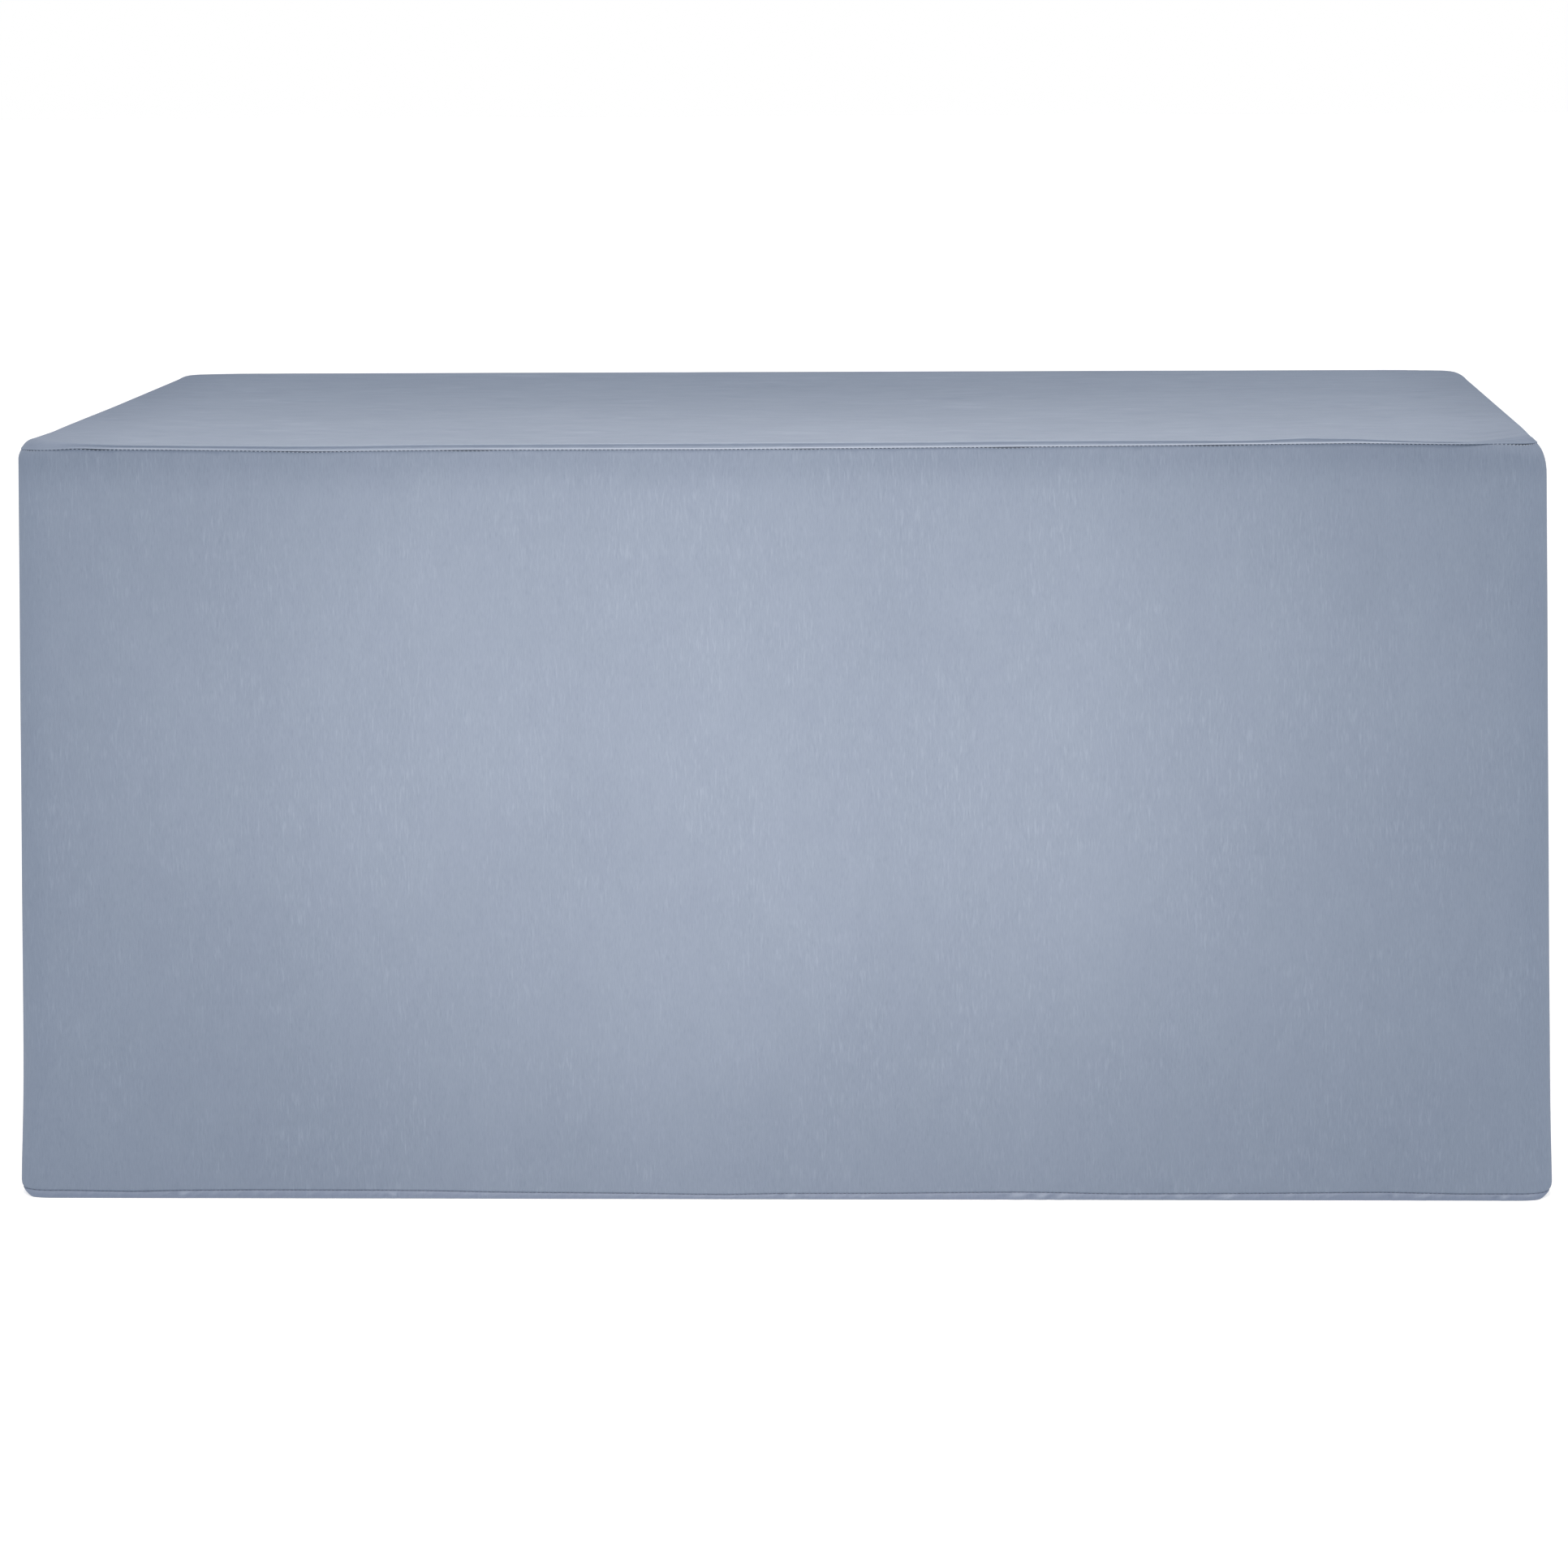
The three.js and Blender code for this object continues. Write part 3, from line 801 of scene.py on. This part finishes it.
def side_wall(name, distance, start, hem_table, drags, under_lap, lap_edge, draw):
    """A side panel as a sheet. under_lap: how much of a layer's depth it lies under its
    neighbour, at each place; lap_edge: how far each place is from the panel's own upright
    edge where that is folded and topstitched; draw: the wall's own chance folds."""
    core, outward = round_cover(distance)
    groove = hem_line(hem_table, start)(distance)
    seam = cover_height - seam_depth(distance)
    reach, rise = roll_reach(distance), roll_rise(distance)
    inner = core + outward * (corner_radius - reach)[:, None]
    roll_top = top_height(inner[:, 0], inner[:, 1])
    roll_start = roll_top - rise
    gap = rim_gap(distance)
    gap_low = gap_height + gap * mm
    middle = np.arange(1, rows_between + 1) / (rows_between + 1)
    heights = []
    for k in range(len(distance)):
        low = np.concatenate([(groove[k] - 1.6 * mm) * rows_in_hem, groove[k] + rows_at_groove])
        down = np.concatenate([rows_under_rim, gap_low[k] + rows_at_gap, rows_behind_rim])
        high = seam[k] - down
        between = low[-1] + (high[0] - low[-1]) * middle
        heights.append(np.concatenate([low, between, high]))
    height = np.array(heights)
    place = np.repeat(distance[:, None], height.shape[1], axis=1)
    along = (place - start) / mm
    up = height / mm
    below = seam[:, None] - height

    share = height / groove[:, None]
    band = np.where(share <= 1, np.sin(math.pi * np.clip(share, 0, 1)) ** 0.7, 0) * hem_crown
    turn = -hem_turn * (1 - smoothstep(share / 0.16))
    line = -hem_groove * bump(height - groove[:, None], hem_groove_half)
    stand = wall_stand(place.ravel(), height.ravel()).reshape(height.shape)
    tuck = hem_drawn_in(place.ravel(), height.ravel()).reshape(height.shape)
    turned = np.clip((height - roll_start[:, None]) / rise[:, None], 0, 1)
    roll_in = reach[:, None] * (1 - np.sqrt(1 - np.minimum(turned, 0.98) ** 2))

    relief = np.zeros_like(height)
    for start_at, end_at, width, depth in drags:
        relief += drag_strength * mm * crease(along, up, start_at, end_at, width, depth)
    for middle_at in np.arange(distance[0], distance[-1], hem_fold_spacing):
        shift, size = draw.normal(0, 3) * mm, draw.uniform(0, hem_fold_most)
        slant = draw.normal(1.2, 0.9)
        offset = place - middle_at - shift - slant * height
        relief += size * bump(offset, 2.6 * mm) * bump(share - 0.6, 0.4)
    pulled = np.where(share <= 1.1, relief / mm, 0)
    for middle_at in np.arange(distance[0], distance[-1], pucker_spacing):
        shift, size = draw.normal(0, 3) * mm, draw.normal(0, pucker_height)
        relief += size * bump(place - middle_at - shift, 4 * mm) * bump(below - 6 * mm, 5 * mm)
    waves = np.zeros_like(height)
    for _ in range(wave_count):
        length, slant = draw.uniform(0.18, 0.6), draw.normal(0, 0.35)
        phase = draw.uniform(0, 6.28)
        waves += np.sin(2 * math.pi * (place + slant * height) / length + phase)
    relief += wave_height * waves
    edge = lap_edge[:, None]
    relief += lap_crest * bump(edge - lap_crest_at, 1.0 * mm)
    relief -= lap_lip * (1 - smoothstep(edge / (0.9 * mm)))
    relief -= lap_groove * bump(edge - lap_stitches_at, 0.8 * mm)

    thickness = np.where(share <= 1, hem_thickness, cloth_thickness)
    above_gap = below - gap_low[:, None]
    lean = wall_lean * (1 - smoothstep(above_gap / lean_height))
    behind_rim = 1 - smoothstep((above_gap + 0.4 * mm) / (0.6 * mm))
    plunge = (gap_depth + gap[:, None] * mm) * behind_rim
    inward = under_lap[:, None] * (thickness + 0.3 * mm) + lean + plunge
    fade = smoothstep(above_gap / (3 * mm))
    out = stand + band + turn + line - tuck - roll_in + relief * fade - inward
    points = places_out(core, outward, out, height)
    threads = np.stack([place, height], axis=-1)
    # Painted highlights on the hem's lower fold, the upright edges' crests and the drag lines'
    # ridges; painted shade under the rim and in the drag lines' troughs.
    painted_light = 0.2 * bump(share - 0.1, 0.1) + 0.25 * bump(edge - 1.2 * mm, 0.9 * mm)
    painted_light = painted_light - under_rim_shade * (1 - smoothstep(below / shade_height)) + 0.25 * pulled
    doubled = 1 - smoothstep((height - groove[:, None]) / (0.5 * mm))
    return sheet_of_cloth(
        name,
        points.reshape(-1, 3),
        threads.reshape(-1, 2),
        painted_light.ravel(),
        doubled.ravel(),
        grid_faces(len(distance), height.shape[1]),
        thickness.ravel(),
    )


def lapped_panel(name, start, columns, hem_table, drags, draw):
    """The front or back panel, with both its upright edges folded and topstitched."""
    edge = mm * np.array([0, 0.4, 0.9, 1.5, 2.2, 2.9, 3.6, 4.3, 5.2, 6.5, 8.5, 11, 14.5])
    corner = np.linspace(0, corner_arc, 23)[:-1]
    half = np.concatenate([edge, return_length + corner])
    width = front_run + 2 * (corner_arc + return_length)
    run = np.linspace(half[-1] + 3 * mm, width - half[-1] - 3 * mm, columns)
    from_edge = np.concatenate([half, run, width - half[::-1]])
    distance = start - corner_arc - return_length + from_edge
    lap_edge = np.minimum(from_edge, width - from_edge)
    under = np.zeros(len(distance))
    return side_wall(name, distance, start, hem_table, drags, under, lap_edge, draw)


front_panel = lapped_panel(
    "front_panel_cloth", front_start, 560, front_hem, front_drags, np.random.default_rng(21)
)
wall_weave = {"Slub Width": 2.3 * mm, "Slub Length": 19 * mm}
wall_weave |= {"Slub Strength": 0.7, "Crease Strength": 0.06}
wall_cloth = woven_cloth("side panel cloth", 0.22 * mm, wall_weave)
sewn_in(front_panel, "front_panel", wall_cloth)

# The back panel: the same piece at the back, lapped over the side panels behind its two
# corners. Its hem is stitched a little less evenly in other places.

back_hem = [
    (0, 7), (200, 8.2), (420, 6.6), (640, 7.6), (880, 5.6), (1100, 7.9), (1300, 6.8),
    (1494, 7.4),
]
back_drags = [
    ((210, 1), (226, 7), 2.6, 0.6), ((222, 1.5), (240, 7), 2.6, -0.7),
    ((520, 6.5), (532, 2), 2.4, -0.6), ((840, 1), (860, 5.5), 2.8, -0.7),
    ((852, 1), (870, 5.5), 2.6, 0.6), ((1180, 1), (1204, 7), 2.8, -0.8),
    ((1196, 1.5), (1216, 7), 2.6, 0.5),
]
back_panel = lapped_panel(
    "back_panel_cloth", back_start, 420, back_hem, back_drags, np.random.default_rng(22)
)
sewn_in(back_panel, "back_panel", wall_cloth)

# The right and left panels: the two ends, of the same cloth, sewn in under the edges of the
# front and back panels. Their own hems are turned up and stitched in the same way.

lap_width = 12 * mm
lap_flat = 1 * mm
lap_ease = 13 * mm


def end_panel(name, node, start, hem_table, drags, draw):
    at = np.linspace(return_length - lap_width, side_run - return_length + lap_width, 260)
    away = np.minimum(at, side_run - at)
    under = 1 - smoothstep((away - return_length - lap_flat) / lap_ease)
    no_edge_near = np.full(len(at), 1.0)
    panel = side_wall(name, at + start, start, hem_table, drags, under, no_edge_near, draw)
    sewn_in(panel, node, wall_cloth)
    return panel


right_hem = [(0, 7), (200, 8), (420, 6.4), (640, 7.8), (944, 7)]
right_drags = [
    ((260, 1), (280, 7), 2.6, -0.7), ((276, 1), (292, 7), 2.4, 0.6),
    ((610, 7), (622, 2), 2.4, -0.6),
]
left_hem = [(0, 7), (250, 6.6), (500, 8), (720, 7), (944, 8)]
left_drags = [((310, 1), (332, 6), 2.6, -0.7), ((700, 7), (714, 2), 2.4, 0.6)]
right_panel, left_panel = (
    end_panel(node + "_cloth", node, start, hem, drags, np.random.default_rng(seed))
    for node, start, hem, drags, seed in (
        ("right_panel", right_start, right_hem, right_drags, 23),
        ("left_panel", left_start, left_hem, left_drags, 24),
    )
)

# The stitches: two-ply polyester thread. A pale row crosses the gap under the rim, slate rows
# lie in the hem's groove, and pale rows hold the front and back panels' upright edges.

stitch_pitch = 4.3 * mm
stitch_sides = 6

# A stitch's rings: place along its half length, share of its girth, and how far, in shares
# of its thickness, the ring lies out from the middle.
stitch_rings = [
    (-1, 0.4, -0.6), (-0.8, 0.8, -0.2), (-0.35, 1, 0),
    (0.35, 1, 0), (0.8, 0.8, -0.2), (1, 0.4, -0.6),
]

# Each kind of stitch: its length, its thickness, and how far its middle stands off the cloth.
rim_stitch = (2.3 * mm, 1.2 * mm, 0.2 * mm)
hem_stitch = (3.1 * mm, 0.6 * mm, 0.1 * mm)
upright_stitch = (3.2 * mm, 0.6 * mm, 0.05 * mm)


def sewing_thread(name, ply, shade):
    material, shader = plain_surface(name, 0.6, 0.3)
    nodes, links = material.node_tree.nodes, material.node_tree.links
    lie = nodes.new("ShaderNodeAttribute")
    lie.attribute_name = "threads"
    twist = nodes.new("ShaderNodeTexWave")
    twist.wave_type = "BANDS"
    twist.bands_direction = "DIAGONAL"
    twist.inputs["Scale"].default_value = 0.6
    links.new(lie.outputs["Vector"], twist.inputs["Vector"])
    mix = nodes.new("ShaderNodeMix")
    mix.data_type = "RGBA"
    mix.inputs["A"].default_value = (*shade, 1)
    mix.inputs["B"].default_value = (*ply, 1)
    links.new(twist.outputs["Fac"], mix.inputs["Factor"])
    links.new(mix.outputs["Result"], shader.inputs["Base Color"])
    relief = nodes.new("ShaderNodeBump")
    relief.inputs["Distance"].default_value = 0.1 * mm
    links.new(twist.outputs["Fac"], relief.inputs["Height"])
    links.new(relief.outputs["Normal"], shader.inputs["Normal"])
    return material


def row_of_stitches(name, sheet, places, along, outward, rise, stitch, thread, draw):
    """Stitches laid onto a sheet, each where a line through its place meets the cloth."""
    length, thickness, seat = stitch
    cloth = BVHTree.FromPolygons(
        [vert.co for vert in sheet.data.vertices], [face.vertices for face in sheet.data.polygons]
    )
    points, faces, plies = [], [], []
    turn = np.arange(stitch_sides) * 2 * math.pi / stitch_sides
    for place, tangent, out, up in zip(places, along, outward, rise):
        hit = cloth.ray_cast(Vector(place + out * 30 * mm), Vector(-out), 60 * mm)[0]
        if hit is None:
            continue
        across = np.cross(out, tangent)
        tilt = draw.normal(0, 0.05)
        line = tangent * math.cos(tilt) + across * math.sin(tilt)
        side = across * math.cos(tilt) - tangent * math.sin(tilt)
        half = length / 2 * draw.uniform(0.93, 1.05)
        middle = np.array(hit) + out * seat + np.array([0, 0, up])
        first = len(points)
        for reach, girth, lift in stitch_rings:
            centre = middle + line * reach * half + out * lift * thickness
            for step, angle in enumerate(turn):
                spread = side * math.cos(angle) + out * math.sin(angle)
                points.append(centre + spread * girth * thickness / 2)
                plies.append((reach * half / (0.5 * mm), step / stitch_sides, 0))
        for ring in range(len(stitch_rings) - 1):
            a = first + ring * stitch_sides
            for k in range(stitch_sides):
                n = (k + 1) % stitch_sides
                faces.append((a + k, a + stitch_sides + k, a + stitch_sides + n, a + n))
        last = first + (len(stitch_rings) - 1) * stitch_sides
        faces.append([first + k for k in range(stitch_sides)])
        faces.append([last + k for k in reversed(range(stitch_sides))])
    mesh = bpy.data.meshes.new(name)
    mesh.from_pydata(np.array(points).tolist(), [], faces)
    mark_points(mesh, "threads", plies)
    mesh.materials.append(thread)
    mesh.shade_smooth()
    row = placed(name, mesh)
    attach(row, "root")
    return row


def level_row(name, sheet, first, last, height_at, rise_at, stitch, thread, draw):
    """A row of stitches that runs round the cover from one distance to another."""
    distance = np.arange(first, last, stitch_pitch)
    core, outward = round_cover(distance)
    out = np.column_stack([outward, np.zeros(len(distance))])
    along = np.column_stack([-outward[:, 1], outward[:, 0], np.zeros(len(distance))])
    places = np.column_stack([core + outward * corner_radius, height_at(distance)])
    rise = rise_at(distance)
    return row_of_stitches(name, sheet, places, along, out, rise, stitch, thread, draw)


def upright_row(name, sheet, distances, thread, draw):
    """Rows of stitches up the cover, at the given distances round it."""
    places, along, outs = [], [], []
    for distance in distances:
        core, outward = round_cover(np.array([distance]))
        seam = cover_height - seam_depth(np.array([distance]))[0]
        for height in np.arange(11 * mm, seam - 6 * mm, stitch_pitch):
            out = np.array([*outward[0], 0])
            places.append(np.array([*core[0], height]) + out * corner_radius)
            along.append(np.array([0, 0, 1.0]))
            outs.append(out)
    rise = np.zeros(len(places))
    return row_of_stitches(name, sheet, places, along, outs, rise, upright_stitch, thread, draw)


def under_rim_height(distance):
    gap = gap_height + rim_gap(distance) * mm
    return cover_height - seam_depth(distance) - gap + 0.05 * mm


def over_gap(distance):
    """Where the rim lies close, the stitches lift over the gap to reach it."""
    return 0.4 * mm * (1 - np.clip(rim_gap(distance) / 0.5, 0, 1))


pale_thread = sewing_thread("pale thread", (0.34, 0.39, 0.48), (0.26, 0.31, 0.4))
slate_thread = sewing_thread("slate thread", (0.13, 0.16, 0.22), (0.08, 0.1, 0.15))
lap_reach = corner_arc + return_length
row_ends = 2 * mm

# Each wall: its sheet, its hem's table, where its run starts and how long that is, and how
# far the wall reaches past the run's two ends.
stitched_walls = {
    "front": (front_panel, front_hem, front_start, front_run, lap_reach),
    "right": (right_panel, right_hem, right_start, side_run, -return_length),
    "back": (back_panel, back_hem, back_start, front_run, lap_reach),
    "left": (left_panel, left_hem, left_start, side_run, -return_length),
}
sewing = {}
for order, (side, (sheet, hem, start, run, past)) in enumerate(stitched_walls.items()):
    ends = (start - past + row_ends, start + run + past - row_ends)
    rim_draw, hem_draw = np.random.default_rng(40 + order), np.random.default_rng(50 + order)
    rim_row = ("_rim_stitches", under_rim_height, over_gap, rim_stitch, pale_thread, rim_draw)
    on_hem = hem_line(hem, start)
    hem_row = ("_hem_stitches", on_hem, np.zeros_like, hem_stitch, slate_thread, hem_draw)
    sewing[side] = [
        level_row(side + kind, sheet, *ends, height_at, rise_at, stitch, thread, draw)
        for kind, height_at, rise_at, stitch, thread, draw in (rim_row, hem_row)
    ]
for side, seed in (("front", 60), ("back", 62)):
    sheet, _, start, run, past = stitched_walls[side]
    rows = (start - past + lap_stitches_at, start + run + past - lap_stitches_at)
    name = side + "_upright_stitches"
    draw = np.random.default_rng(seed)
    sewing[side].append(upright_row(name, sheet, rows, pale_thread, draw))

# The wall sheets' cut sizes, width and height in metres, are listed; the loop only looks each
# sheet up.

for side, flat in (
    ("front", (1.665, 0.795)),
    ("back", (1.665, 0.795)),
    ("right", (0.935, 0.79)),
    ("left", (0.935, 0.79)),
):
    sheet = stitched_walls[side][0]

# The studio: a white acrylic floor lit from below, an even white surround, three soft lamps
# in front and above, three weaker ones at the sides and back, and the camera.

floor_mesh = bpy.data.meshes.new("floor")
floor_reach = 60
corners = [(-1, -1), (1, -1), (1, 1), (-1, 1)]
corners = [(x * floor_reach, y * floor_reach, 0) for x, y in corners]
floor_mesh.from_pydata(corners, [], [(0, 1, 2, 3)])
acrylic, floor_shader = plain_surface("white acrylic", 0.9, 0.1)
floor_shader.inputs["Base Color"].default_value = (0.5, 0.5, 0.5, 1)
floor_shader.inputs["Emission Color"].default_value = (1, 1, 1, 1)
floor_shader.inputs["Emission Strength"].default_value = 0.6
floor_mesh.materials.append(acrylic)
placed("floor", floor_mesh)

surround = bpy.data.worlds.new("white surround")
bpy.context.scene.world = surround
surround.use_nodes = True
surround_light = surround.node_tree.nodes["Background"]
surround_light.inputs["Color"].default_value = (1, 1, 1, 1)
surround_light.inputs["Strength"].default_value = 1.0


def lamp(name, kind, place, aim, energy, colour, **settings):
    light = bpy.data.lights.new(name, kind)
    light.energy = energy
    light.color = colour
    for key, value in settings.items():
        setattr(light, key, value)
    holder = placed(name, light)
    holder.location = place
    holder.rotation_euler = (Vector(place) - Vector(aim)).to_track_quat("Z", "Y").to_euler()
    return holder


front_lamp = lamp(
    "front lamp",
    "SPOT",
    (0.1, -6.5, 1.6),
    (-0.035, -0.53, 0.5),
    1140,
    (1, 0.85, 0.71),
    spot_size=math.radians(15.8),
    spot_blend=1.0,
    shadow_soft_size=0.25,
)
front_lamp.scale = (1, 0.69, 1)
for side, place_x in (("left", -0.8), ("right", 0.9)):
    lamp(
        side + " top lamp",
        "SPOT",
        (place_x, -1.3, 3.2),
        (place_x, -1.24, 0.79),
        198,
        (1, 0.84, 0.68),
        spot_size=math.radians(84),
        spot_blend=1.0,
        shadow_soft_size=0.3,
    )
softbox = {"shape": "RECTANGLE", "size": 1.6, "size_y": 1.6}
for side, place, energy in (
    ("left", (-3.5, -1.5, 2.0), 5),
    ("right", (3.5, -1.2, 2.0), 7),
    ("back", (0.6, 3.8, 2.2), 15),
):
    lamp(side + " softbox", "AREA", place, (0, 0, 0.4), energy, (1, 1, 1), **softbox)

camera_data = bpy.data.cameras.new("camera")
camera_data.sensor_width = 36
camera_data.lens = 6624.6 / 1932 * 36
camera_data.shift_x = -0.05
camera_data.shift_y = -0.12
camera = placed("camera", camera_data)
camera_yaw = 0.0345
camera_pitch = 0.1074
camera_roll = -0.0055
camera.matrix_world = (
    Matrix.Translation((0.2762, -6.0011, 1.2209))
    @ Matrix.Rotation(camera_yaw, 4, "Z")
    @ Matrix.Rotation(math.pi / 2 - camera_pitch, 4, "X")
    @ Matrix.Rotation(camera_roll, 4, "Z")
)
bpy.context.scene.camera = camera
bpy.context.scene.view_settings.view_transform = "Standard"
